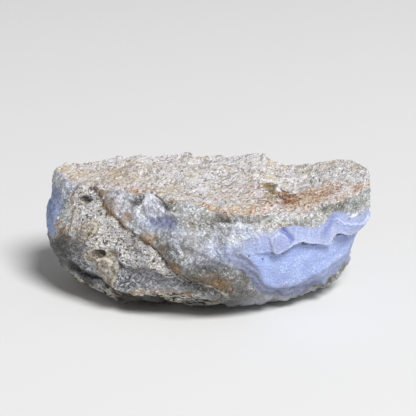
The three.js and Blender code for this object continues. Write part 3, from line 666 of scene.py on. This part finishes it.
def zones(points, up, s):
    """How much of each kind and tint of stone, and of painted shade and glint, shows at each point,
    0 to 1, by name.
    """
    x, y, z = points.T
    wobble = noise_vectors(points, 3, 3, 70, 2).T
    wide = fbm(points, 9, 2, 75)
    su, zu = s + 0.7 * wobble[0], z + 0.7 * wobble[1]
    xu, yu = x + 1.6 * wobble[0], y + 1.6 * wobble[1]
    top, front = top_share(up), 1 - ramp(74, 90, np.abs(s))
    kinds = {name: soft_areas(areas, su, zu) * (1 - top) for name, areas in SIDE_TINTS.items()}
    for name, areas in TOP_TINTS.items():
        kinds[name] = kinds.get(name, 0) + top * soft_areas(areas, xu, yu)
    # Rock: the crust and its edge, the patch on the front, the broken foot.
    over_edge, over_back_edge = zu - line_height(CRUST_EDGE, s), zu - back_crust_line(s)
    crust = np.maximum(top, ramp(-0.5, 0.5, over_edge) * front)
    crust = np.maximum(crust, ramp(-0.8, 0.8, over_back_edge) * (1 - front))
    bare = area_distance(BARE_RIM, xu, yu) + 10 * (z < 30)
    crust *= ramp(-0.5, 0.5, bare)
    patch = ramp(0.5, -0.5, area_distance(ROCK_PATCH, su, zu))
    foot_top = line_height(FOOT_TOP, s)
    foot = ramp(0.6, -0.6, zu - foot_top - 0.6 * wide) * (s < 14) * front
    back_foot = ramp(1, -1, zu - 9 - 2.5 * wide) * (1 - front)
    lobes = 0.8 * ramp(0.5, -0.5, area_distance(LOBES, su, zu))
    pepper = top * soft_areas(PEPPER_AREAS, x, y)
    speckled = np.maximum.reduce([patch, foot, back_foot, lobes, pepper])
    rock = np.maximum(crust, speckled)
    # Blue: the shelf and the scoop, narrowing to a band round the right end and the back.
    blue_top, blue_foot = line_height(BLUE_TOP, s), line_height(BLUE_FOOT, s)
    fade = 0.9 + 4 * ramp(26, 10, s)
    right = (0.45 * ramp(-2, 8, su) + 0.55 * ramp(8, 19, s)) * ramp(112, 90, s)
    blue = ramp(-fade, fade, blue_top - zu) * ramp(-0.8, 0.8, zu - blue_foot) * right
    left_edge = area_distance(LEFT_BLUE, su, zu)
    left = ramp(2.5, -4.5, left_edge)
    band = hump(z - 19 - 4 * wide, 3.2 + 3 * wobble[1]) * (1 - front)
    band *= ramp(-0.5, 0.3, fbm(points, 13, 2, 77))
    blue = np.maximum.reduce([blue, left, 0.8 * band]) * (1 - rock)
    band_top = scoop_foot(s) + 3.5 * ramp(22, 12, s)
    under = ramp(1.4, -1.4, zu - band_top) * ramp(-1, 0.5, zu - blue_foot) * front
    under *= ramp(2, 13, s) * (1 - 0.4 * ramp(34, 46, s))
    # Rust along the top of the foot and in patches; stains on the crust and its rim.
    rust = 0.7 * hump(z - foot_top - 0.3, 0.6) * ramp(-38, -34, s) * (s < 4)
    rim = hump(over_edge - 0.6, 0.9) * ramp(-66, -62, s) * ramp(74, 66, s)
    stains = [
        0.5 * rim * (1 - 0.4 * top), 0.7 * top * hump(bare - 0.8, 0.8),
        0.6 * (1 - front) * hump(over_back_edge, 1.4),
    ]
    # Shadows in the groove, the pit, the crease and the hollows, and low at the back and left.
    crease = 0.6 * ramp(0.9, -0.9, np.abs(over_edge + 1.3) - 0.5) * ramp(-1, 3, s)
    at_left = 0.8 * ramp(0, 4, left_edge) * ramp(-46, -54, su) * ramp(25, 20, zu)
    shadows = [
        1.3 * hump(line_distance(GROOVE, s, z), 1.8),
        1.1 * hump(line_distance(PIT_ROOF, s, z), 0.3),
        (z > 30) * hump(line_distance(BLOCK_EDGE, x, y), 0.6),
        top * soft_areas(TOP_SHADOWS, xu, yu),
        crease * ramp(24, 20, s) * ramp(-0.2, 0.5, wobble[0] + wobble[1]),
        at_left * front * (1 - foot),
        0.55 * ramp(4, 1, np.abs(z - 5)) * (1 - front),
    ]
    crumbs = ramp(16, 26, s) * ramp(66, 56, s) * (z < line_height(LEDGE, s))
    return kinds | {
        "rock": rock, "speckled": speckled, "foot": foot, "blue": blue, "lavender": under,
        "purple": ramp(0.6, -0.6, area_distance(PURPLE_PATCH, su, zu)),
        # Painted shade along a crease.
        "crease_shade": 0.7 * hump(line_distance(DEEP_CREASE, s, z), 1.2),
        "left": left * (1 - rock),
        "rust": np.maximum(rust, soft_areas(RUST_AREAS, su, zu) * (1 - 0.3 * top)),
        "stain": np.maximum.reduce([kinds["stain"], *stains]),
        "dark": np.maximum.reduce([kinds["dark"], *shadows]),
        # glint: white painted highlight on the nodule.
        "glint": top * soft_areas(GLINTS, x, y),
        "smooth": ramp(11, 8, z - 2 * wide) * ramp(8, 16, s) * ramp(44, 38, s),
        "crumbs": blue * (1 - under) * crumbs,
    }


FAR = 6  # a distance in millimetres past which a line no longer shows


def signed_distance(line, s, z):
    """Distance to a line, positive above it, and far off past its two ends."""
    off = np.where(z > line_height(line, s), 1, -1) * line_distance(line, s, z)
    return np.where((s > line[0][0]) & (s < line[-1][0]), off, np.where(off < 0, -FAR, FAR))


def marks(points, s):
    """Distance in mm to each crisp line, by name."""
    x, y, z = points.T
    ledge = [point for point in LEDGE if 20 < point[0] < 63]
    ring_s, ring_z, half_s, half_z = RING_LUMP
    ring = np.hypot((s - ring_s) / half_s, (z - ring_z) / half_z)
    narrowed = 1 + 0.8 * ramp(31, 35, z)
    return {
        "to_ledge": signed_distance(ledge, s, z),
        "to_fold": signed_distance(FOLD, s, z),
        "to_block": area_distance(BLOCK, s, z),
        "to_notch": line_distance(NOTCH, s, z),
        "to_foot": z - scoop_foot(s),
        "to_seam": narrowed * signed_distance(SEAM, s, z),
        "to_patch": np.where(z < 35.5, area_distance(ROCK_PATCH, s, z), FAR),
        "to_pale": np.where(z > 30, area_distance(PALE_BLOCK, x, y), FAR),
        "rings": np.maximum(-area_distance(LOBES, s, z), 3.2 - 3.2 * ring),
    }


def fine_relief(points, kinds):
    """Grain and crystals too small for the solid."""
    rock, blue, smooth = kinds["rock"], kinds["blue"], kinds["smooth"]
    quartz = (1 - rock) * (1 - blue * (1 - 0.4 * kinds["left"])) * (1 - 0.8 * smooth)
    quartz *= 1 - 0.4 * kinds["haze"]
    bend = noise_vectors(points, 4, 2, 110)
    grain = 0.45 * fbm(points, 2.4, 3, 80)
    grain += 0.8 * (chips(points + 0.5 * bend, 2.0, 85, 0.8, 0.7, (1.3, 1.3, 0.8)) + 0.07)
    pits = ramp(0.3, 0.55, fbm(points, 2, 2, 88))
    crystals = 0.20 * (crystal_tips(points + bend, 3.2, 90) + 2.6)
    crystals += 0.30 * (crystal_tips(points + 0.5 * bend, 1.7, 95) + 1.4)
    crystals += 0.12 * fbm(points, 1.4, 1, 97)
    waves = 0.2 * fbm(points, 6, 2, 99) + 0.1 * fbm(points, 1.8, 2, 104)
    crumbs = ramp(0.35, 0.6, fbm(points, 1.5, 2, 107)) * kinds["crumbs"]
    return (grain - 0.5 * pits) * rock + crystals * quartz + waves * blue + 0.25 * crumbs


# ---- the stone's mesh
def build_stone():
    squares = np.array(NET_SQUARES) // 1
    net, quads, places = box_net(squares)
    base = cast_out(around_stone(net))
    way = vertex_normals(base, quads)
    girth = girth_of(base[:, 0], base[:, 1])
    kinds = zones(base, way[:, 2], girth)
    lift = relief(base, way[:, 2], girth)
    fine = fine_relief(base, kinds) * over_floor(base[:, 2])
    points = base + way * (lift + fine)[:, None] + SHIFT
    points[:, 2] = np.where(base[:, 2] < 1e-3, 0, np.maximum(points[:, 2], 0))
    mesh = bpy.data.meshes.new("agate_stone_skin")
    mesh.from_pydata((points / MILLIMETRES).tolist(), [], quads.tolist())
    skin_map = mesh.uv_layers.new(name="OFBake")
    skin_map.data.foreach_set("uv", places.astype(np.float32).ravel())
    for name, values in (kinds | marks(base, girth)).items():
        layer = mesh.attributes.new(name, "FLOAT", "POINT")
        layer.data.foreach_set("value", np.clip(values, -FAR, FAR).astype(np.float32))
    mesh.validate()
    stone = bpy.data.objects.new("agate_stone_skin", mesh)
    bpy.context.scene.collection.objects.link(stone)
    return stone


# ---- shader nodes for the stone, with lengths in millimetres
STONE = bpy.data.materials.new("blue_agate_stone")
STONE.use_nodes = True
TREE = STONE.node_tree
GRAIN_TURN = 0.43  # how far the rock's grain is turned from the x axis, in radians
# Stretches of a noise along and across the grain, and upwards.
EVEN = (1, 1, 1)
GRAIN = (1.0, 3.0, 0.8)
LONG_GRAIN = (1.7, 3.8, 0.9)
FLAKES = (3.0, 3.0, 0.7)
NEEDLES = (2.6, 1, 0.6)
BUMP_DEPTH = 0.0004


def math_node(operation, turned_round=False):
    """A method that adds a math node for a value and one other number."""

    def method(self, other=0.0):
        pair = (other, self) if turned_round else (self, other)
        return add_node("Math", dict(enumerate(pair)), operation=operation)

    return method


class Value:
    """A number or colour that varies over the stone. Sums and steps of it add shader nodes."""

    def __init__(self, socket):
        self.socket = socket

    __add__, __mul__, __abs__ = math_node("ADD"), math_node("MULTIPLY"), math_node("ABSOLUTE")
    __sub__, __rsub__ = math_node("SUBTRACT"), math_node("SUBTRACT", turned_round=True)
    at_most, at_least, sine = math_node("MINIMUM"), math_node("MAXIMUM"), math_node("SINE")

    def step(self, low, high, to=1.0):
        """0 below low, `to` above high, smooth between."""
        inputs = {"Value": self, "From Min": low, "From Max": high, "To Max": to}
        return add_node("MapRange", inputs, interpolation_type="SMOOTHSTEP")

    def between(self, low, high):
        """A 0 to 1 value stretched to run from low to high."""
        return add_node("MapRange", {"Value": self, "To Min": low, "To Max": high})


def add_node(kind, inputs, output=0, **settings):
    """Adds a node with its inputs linked or set, and gives one of its outputs."""
    made = TREE.nodes.new("ShaderNode" + kind)
    for name, value in settings.items():
        setattr(made, name, value)
    for name, value in inputs.items():
        if isinstance(value, Value):
            TREE.links.new(value.socket, made.inputs[name])
        else:
            made.inputs[name].default_value = value
    return Value(made.outputs[output])


def vector(operation, a, b):
    return add_node("VectorMath", {0: a, 1: b}, operation=operation)


def turned(place, axis, angle):
    return add_node("VectorRotate", {"Vector": place, "Angle": angle}, rotation_type=axis)


def zone(name):
    return add_node("Attribute", {}, "Fac", attribute_name=name)


PLACE = vector("MULTIPLY", add_node("TexCoord", {}, "Object"), (MILLIMETRES,) * 3)
PLACE = turned(PLACE, "Z_AXIS", GRAIN_TURN)


def moved(place, seed):
    """Places for a pattern with this seed, away from those of other seeds."""
    return vector("ADD", place, (seed * 37, seed * 11, seed * 5))


def noise(size, detail=2, seed=0, stretch=EVEN, warp=0, turn=0):
    place = turned(PLACE, "Y_AXIS", turn) if turn else PLACE
    place = moved(vector("DIVIDE", place, stretch), seed)
    inputs = {"Vector": place, "Scale": 1 / size, "Detail": detail, "Distortion": warp}
    return add_node("TexNoise", inputs, "Fac")


def cells(size, seed=0):
    """A random colour for each crystal."""
    return add_node("TexVoronoi", {"Vector": moved(PLACE, seed), "Scale": 1 / size}, "Color")


def worms(size, width, seed, stretch=EVEN, warp=1):
    """Thin wandering strokes, where a noise crosses its middle."""
    return abs(noise(size, 1, seed, stretch, warp) - 0.5).step(width, width * 0.3)


def mix(share, a, b):
    a, b = (colour if isinstance(colour, Value) else (*colour, 1) for colour in (a, b))
    return add_node("Mix", {0: share, 6: a, 7: b}, 2, data_type="RGBA")


def coats(colour, *layers):
    """A colour under others laid on in turn, each given as its share and its colour."""
    for share, tint in layers:
        colour = mix(share, colour, tint)
    return colour


def bright(colour, amount):
    """A colour multiplied by an amount."""
    return add_node("VectorMath", {0: colour, "Scale": amount}, operation="SCALE")


def ragged(name, breaks, edge=0.1, spread=0.6):
    """A zone whose soft border is broken up by a noise."""
    share = (zone(name) + (breaks - 0.5) * (spread * 2)).step(0.5 - edge, 0.5 + edge)
    return share * zone(name).step(0.05, 0.25)


# ---- the stone's colours
# Noises that several colours share, and how far lines wander in millimetres.
COARSE, FINE = noise(2.5, 3, 11), noise(0.7, 3, 12)
WANDER = COARSE.between(-1.2, 1.2)


def rock_colour():
    """Pale volcanic rock: white, cream and tan grains with thin dark strokes between them."""
    speckled, warm, foot = zone("speckled"), zone("warm"), zone("foot")
    tone = noise(7, 3).step(0.42, 0.58)
    plain = mix(tone, (0.65, 0.635, 0.61), (0.68, 0.68, 0.7))
    crust = mix(tone, (0.7, 0.685, 0.66), (0.76, 0.755, 0.8))
    pebbles = noise(3.2, 1, 1, LONG_GRAIN) + warm * 0.1
    tan = warm * 0.45
    wisps = worms(2.6, 0.03, 23, GRAIN, 2) * (speckled.between(0.45, 0.2) + tan * 0.9)
    rings = zone("rings") + WANDER * 0.7
    layers = mix((rings * 3.4).sine().step(-0.5, 0.8), (0.22, 0.165, 0.095), (0.6, 0.54, 0.395))
    specks = noise(1, 2.5, 3, GRAIN) + noise(6, 2, 18) * 0.14 + speckled * 0.09
    grit = (noise(0.6, 2, 4, GRAIN) - 0.5) * speckled.between(0.7, 1.1)
    colour = coats(
        mix(speckled, crust, plain),
        (noise(5, 2, 28).step(0.52, 0.66, 0.6), (0.66, 0.65, 0.71)),
        # Cream pebbles, each with a brown outline.
        (pebbles.step(0.6, 0.64, 0.65) * speckled.between(1, 0.6), (0.7, 0.6, 0.42)),
        (abs(pebbles - 0.6).step(0.018, 0.006) * speckled.between(0.75, 0.15), (0.3, 0.21, 0.13)),
        (tan, (0.55, 0.42, 0.3)),
        (zone("bleached"), (0.84, 0.84, 0.89)),
        # White flecks, and dark strokes along the grain.
        (noise(0.8, 2, 2, GRAIN).step(0.52, 0.6) * speckled.between(0.6, 0.8), (0.95, 0.95, 0.95)),
        (worms(1.8, 0.06, 15, GRAIN, 2.2) * speckled.between(0.35, 0.85), (0.19, 0.18, 0.17)),
        (worms(1.6, 0.045, 40, LONG_GRAIN, 1.4) * speckled.between(0.85, 0.3), (0.27, 0.22, 0.19)),
        (wisps, (0.4, 0.26, 0.14)),
        # The lump and the lobes on the front are layered, line within line.
        (rings.step(0, 0.5, 0.6), layers),
        (specks.step(0.74, 0.78, 0.9), (0.05, 0.045, 0.04)),
        # The broken foot lies in flakes, pale and ochre, with painted black shade in the gaps
        # between them.
        (worms(2.4, 0.06, 29, FLAKES) * foot, (0.66, 0.56, 0.34)),
        (worms(2, 0.08, 25, FLAKES) * foot, (0.03, 0.03, 0.03)),
    )
    return bright(colour, grit + 1)


def quartz_colour(crystals):
    """Grey quartz: each crystal a tone of its own, with white needles and hairlines painted as
    highlights, and dark gaps painted as shade.
    """
    haze = zone("haze")
    tone = noise(8, 2, 5).step(0.4, 0.6)
    colour = coats(
        mix(tone, (0.41, 0.43, 0.48), (0.34, 0.355, 0.325)),
        (noise(5, 3, 19).step(0.57, 0.72, 0.35), (0.4, 0.33, 0.25)),
        (zone("lilac"), (0.5, 0.46, 0.54)),
        (haze, (0.36, 0.42, 0.62)),
    )
    colour = bright(colour, crystals.between(0.8, 1.2))
    colour = bright(colour, noise(4, 2, 27, (1, 1, 1.6)).between(0.6, 1.4))
    open_here = haze.between(1, 0.1)
    milk = noise(2, 3, 6, (1, 1, 1.5)).step(0.52, 0.7, 0.55) * haze.between(1, 0.4)
    murk = noise(1.5, 3, 30).between(1.9, 0.5)
    highlight_shards = [
        noise(0.8, 1, seed, NEEDLES, 0.4, turn).step(0.59, 0.66, 0.8) * haze.between(1, 0.6)
        for turn, seed in ((0.7, 16), (-0.6, 31))
    ]
    return coats(
        colour,
        (zone("beige"), (0.43, 0.385, 0.3)),
        (milk, (0.64, 0.66, 0.71)),
        # Painted shade: darker hollows, and black gaps between the crystals.
        (noise(2.4, 2, 7).step(0.54, 0.72, 0.6) * open_here, (0.21, 0.22, 0.19)),
        (noise(1.2, 3, 33).step(0.65, 0.72, 0.5) * open_here, (0.09, 0.09, 0.085)),
        ((zone("slate") * murk).at_most(0.9), (0.085, 0.09, 0.11)),
        # White needles: painted highlights off the crystals' faces.
        *((share, (0.88, 0.9, 0.94)) for share in highlight_shards),
        # Dark olive quartz, with painted shade in the pits and under the crust's edge.
        ((zone("murk_and_shade") * murk).at_most(0.85), (0.125, 0.113, 0.09)),
        # White hairlines: painted highlights along the crystals' edges.
        (worms(1.6, 0.03, 34) * 0.6, (0.84, 0.86, 0.9)),
        (zone("smooth") * 0.65, (0.36, 0.37, 0.4)),
    )


def blue_colour():
    """Blue chalcedony: a pale lavender shelf over a brighter scoop, with crisp painted shade and
    painted glints.
    """
    grain = noise(0.7, 2, 17).between(0.8, 1.2)
    tone = noise(6, 3, 8).step(0.35, 0.65)
    wisps = noise(2.2, 3, 9, (2, 2, 0.7)).step(0.56, 0.72, 0.5)
    scoop = mix(tone, (0.37, 0.46, 0.8), (0.42, 0.53, 0.9))
    scoop = mix(wisps, scoop, (0.55, 0.64, 0.92))
    above, fold = zone("to_ledge") + WANDER, zone("to_fold") + WANDER
    shelf = coats(
        mix(above.step(3.2, 1.2), (0.39, 0.46, 0.74), (0.5, 0.57, 0.86)),
        (noise(3, 3, 20).step(0.4, 0.65, 0.6), (0.42, 0.48, 0.76)),
        (noise(1.8, 2, 41, (0.6, 0.6, 3)).step(0.5, 0.66, 0.5), (0.6, 0.63, 0.87)),
    )
    near_fold = fold.step(4, 1) * fold.step(-2.2, -1.4)
    block = zone("to_block") + WANDER * 0.5
    ledge_gap_shade = noise(5, 2, 21).step(0.42, 0.6).between(0.3, 0.75) - abs(above + 0.35)
    colour = coats(
        mix(above.step(-0.2, 0.2), scoop, shelf),
        # The folded layer: fine bands, a pale crest and a shadow under it.
        (near_fold, (0.46, 0.53, 0.8)),
        (near_fold * (fold * 3.2).sine().step(0.2, 1, 0.6), (0.3, 0.36, 0.66)),
        (abs(fold - 0.3).step(0.45, 0.15, 0.7), (0.66, 0.71, 0.93)),
        (abs(fold + 0.4).step(0.4, 0.1, 0.7), (0.22, 0.27, 0.52)),
        # The block at the left end of the shelf: a flat face, pale edges and a thin outline.
        (block.step(0.1, -0.2), (0.4, 0.45, 0.72)),
        (abs(block + 0.3).step(0.5, 0.2, 0.6), (0.62, 0.66, 0.84)),
        (abs(block - 0.25).step(0.35, 0.1, 0.35), (0.22, 0.2, 0.24)),
        # Painted shade in the notch, a darker blue.
        ((zone("to_notch") + WANDER).step(1.2, 0.4, 0.7), (0.15, 0.2, 0.55)),
        # The shelf's pale lip, and under it the painted shadow of its edge, here and there wider
        # and black.
        (abs(above - 0.55).step(0.5, 0.2, 0.7), (0.66, 0.7, 0.92)),
        (ledge_gap_shade.step(-0.1, 0.25, 0.85), (0.07, 0.07, 0.09)),
    )
    # Painted highlights: white specks for the sparkle of tiny crystals, more of them in the scoop.
    glints = noise(0.5, 1, 10) + zone("crumbs") * tone.between(0, 0.1)
    return mix(glints.step(0.69, 0.75, 0.8), bright(colour, grain), (0.9, 0.93, 1))


def tinted_quartz(colour):
    """The bands under the scoop, the purple, blue, amber and pale patches of the quartz, and
    painted shade along a crease.
    """
    layers = ((zone("to_foot") + WANDER) * 2.4).sine().step(-0.4, 0.9)
    banded = mix(layers, (0.165, 0.17, 0.255), (0.27, 0.295, 0.445))
    banded = mix(FINE.step(0.58, 0.72, 0.6), banded, (0.55, 0.58, 0.7))
    haze = noise(1.6, 3, 24).step(0.66, 0.4, 0.85)
    return coats(
        colour,
        (zone("lavender") * 0.9, banded),
        (ragged("purple", FINE, 0.4, 0.3) * 0.8, (0.205, 0.22, 0.36)),
        (zone("left") * haze, (0.17, 0.25, 0.46)),
        (ragged("amber", COARSE, 0.5, 0.8) * 0.75, (0.26, 0.16, 0.075)),
        (ragged("pale", FINE, 0.2), (0.8, 0.82, 0.88)),
        # Painted shade along the crease, a darker blue.
        (zone("crease_shade"), (0.2, 0.25, 0.55)),
    )


def lines_and_stains(colour, rock):
    """The seam and the other earthy lines, the pale block, the stains, the nodule and rust, a
    painted glint and painted shade.
    """
    border = abs(zone("to_patch") + WANDER * 0.5).step(0.4, 0.12, 0.85)
    ochre = mix(FINE.step(0.4, 0.6), (0.13, 0.085, 0.05), (0.36, 0.24, 0.12))
    seam = zone("to_seam") + WANDER * 0.6
    lip = seam.step(-1.3, -0.9) * seam.step(-0.1, -0.4) * (1 - rock)
    veins = (abs(zone("rings") + WANDER * 0.3) + 0.3).at_most(abs(seam))
    veins = veins.step(0.75, 0.2, 0.9) * COARSE.step(0.34, 0.5)
    earthy = mix(FINE.step(0.42, 0.58), (0.1, 0.055, 0.03), (0.38, 0.25, 0.13))
    pale = zone("to_pale") + WANDER * 0.5
    white = mix(FINE.step(0.34, 0.56), (0.46, 0.46, 0.56), (0.86, 0.86, 0.95))
    sheen = noise(1.4, 2, 37, GRAIN).step(0.46, 0.64)
    waxy = mix(sheen, (0.085, 0.065, 0.028), (0.34, 0.245, 0.09))
    blots = noise(1.5, 2, 38, GRAIN, 0.8).step(0.5, 0.6)
    stained = mix(blots, (0.7, 0.575, 0.43), (0.41, 0.215, 0.095))
    outlines = worms(1.8, 0.05, 32, GRAIN, 1.5) * zone("stain").step(0.12, 0.4)
    strokes = noise(1.3, 2, 36, GRAIN, 1.2)
    burnt = mix(strokes.step(0.44, 0.58), (0.085, 0.04, 0.025), (0.33, 0.14, 0.05))
    burnt = mix(strokes.step(0.6, 0.68), burnt, (0.72, 0.6, 0.5))
    rusty = mix(FINE.step(0.4, 0.56), (0.14, 0.075, 0.035), (0.52, 0.31, 0.13))
    shadow = zone("dark") * FINE.between(1.5, 0.4)
    return coats(
        colour,
        (border * COARSE.step(0.36, 0.5), ochre),
        (lip, (0.62, 0.58, 0.46)),
        (veins, earthy),
        (pale.step(0.2, -0.3, 0.9), white),
        (ragged("cream", FINE, 0.3, 0.4) * 0.7, (0.66, 0.55, 0.38)),
        (ragged("olive", FINE, 0.3, 1.5) * 0.9, waxy),
        (ragged("stain", COARSE, 0.4, 1) * 0.75, stained),
        (outlines, (0.3, 0.13, 0.07)),
        (ragged("brown", FINE, 0.3, 1.6) * 0.85, burnt),
        # Painted highlight on the nodule.
        (zone("glint"), (0.85, 0.87, 0.92)),
        (ragged("rust", COARSE, 0.35, 0.9) * 0.8, rusty),
        # Painted shade in the groove, the pit, the crease, the hollows and low down.
        (shadow.at_most(0.92), (0.045, 0.043, 0.04)),
    )


def stone_normal(height, facets, large, small):
    """Small bumps everywhere, and a tilt for each crystal."""
    middle = (0.5, 0.5, 0.5)
    inputs = {"Strength": 1, "Distance": BUMP_DEPTH, "Height": height}
    tilt = bright(vector("SUBTRACT", large, middle), 0.5)
    tilt = vector("ADD", tilt, vector("SUBTRACT", small, middle))
    tilt = bright(tilt, facets * 0.4)
    normal = vector("ADD", add_node("Bump", inputs), tilt)
    return add_node("VectorMath", {0: normal}, operation="NORMALIZE")


def stone_material():
    large, small = cells(1.5), cells(0.7, 1)
    each = add_node("SeparateColor", {0: large})
    shine = add_node("SeparateColor", {0: small}, "Green")
    rock, blue = ragged("rock", FINE, 0.12, 0.4), ragged("blue", COARSE, 0.4, 0.25)
    colour = mix(blue, quartz_colour(each), blue_colour())
    colour = tinted_quartz(colour)
    colour = mix(rock, colour, rock_colour())
    colour = lines_and_stains(colour, rock)
    gloss = {"Factor": rock, "A": shine.between(0.12, 0.6), "B": 0.85}
    still = (blue * 0.85 - zone("left")).at_least(zone("smooth"))
    facets = (1 - rock) * (1 - still)
    height = noise(0.6, 2, 14) + FINE * 0.7
    shader = TREE.nodes["Principled BSDF"]
    for name, value in (
        ("Base Color", colour),
        ("Roughness", add_node("Mix", gloss)),
        ("Normal", stone_normal(height, facets, large, small)),
    ):
        TREE.links.new(value.socket, shader.inputs[name])
    return STONE


# ---- floor, light and camera
FLOOR_SIZE, FLOOR_ROUGHNESS = 6, 0.9
FLOOR_COLOUR, SKY_COLOUR = (0.8, 0.8, 0.8, 1), (1, 1, 1, 1)
SKY_STRENGTH = 0.22
KEY_LIGHT = {"place": (1.07, -1.4, 2.55), "target": (0, 0, 0.02), "size": 1.33, "power": 100}
CAMERA_DISTANCE = 0.52
CAMERA_ELEVATION = math.radians(20)
CAMERA_TARGET = Vector((-0.0002, -0.0001, 0.0287))
CAMERA_LENS, SENSOR_WIDTH = 135, 36


def add_floor():
    bpy.ops.mesh.primitive_plane_add(size=FLOOR_SIZE)
    floor = bpy.context.object
    floor.name = "floor"
    pale = bpy.data.materials.new("pale_floor")
    pale.use_nodes = True
    shader = pale.node_tree.nodes["Principled BSDF"]
    shader.inputs["Base Color"].default_value = FLOOR_COLOUR
    shader.inputs["Roughness"].default_value = FLOOR_ROUGHNESS
    floor.data.materials.append(pale)


def aim(thing, place, way):
    """Puts a lamp or a camera in the scene, looking along `way`."""
    thing.location = place
    thing.rotation_euler = way.to_track_quat("-Z", "Y").to_euler()
    bpy.context.scene.collection.objects.link(thing)


def add_key_light(place, target, size, power):
    data = bpy.data.lights.new("key", "AREA")
    data.shape = "DISK"
    data.size = size
    data.energy = power
    aim(bpy.data.objects.new("key", data), place, Vector(target) - Vector(place))


def add_world():
    world = bpy.data.worlds.new("studio")
    world.use_nodes = True
    background = world.node_tree.nodes["Background"]
    background.inputs["Color"].default_value = SKY_COLOUR
    background.inputs["Strength"].default_value = SKY_STRENGTH
    bpy.context.scene.world = world


def add_camera():
    data = bpy.data.cameras.new("camera")
    data.lens = CAMERA_LENS
    data.sensor_width = SENSOR_WIDTH
    camera = bpy.data.objects.new("camera", data)
    away = Vector((0, -math.cos(CAMERA_ELEVATION), math.sin(CAMERA_ELEVATION)))
    aim(camera, CAMERA_TARGET + CAMERA_DISTANCE * away, -away)
    bpy.context.scene.camera = camera


# ---- the scene
stone = build_stone()
stone.data.materials.append(stone_material())
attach(stone, "root")
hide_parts("agate_stone")

add_floor()
add_world()
add_key_light(**KEY_LIGHT)
add_camera()
bpy.context.scene.view_settings.view_transform = "Standard"
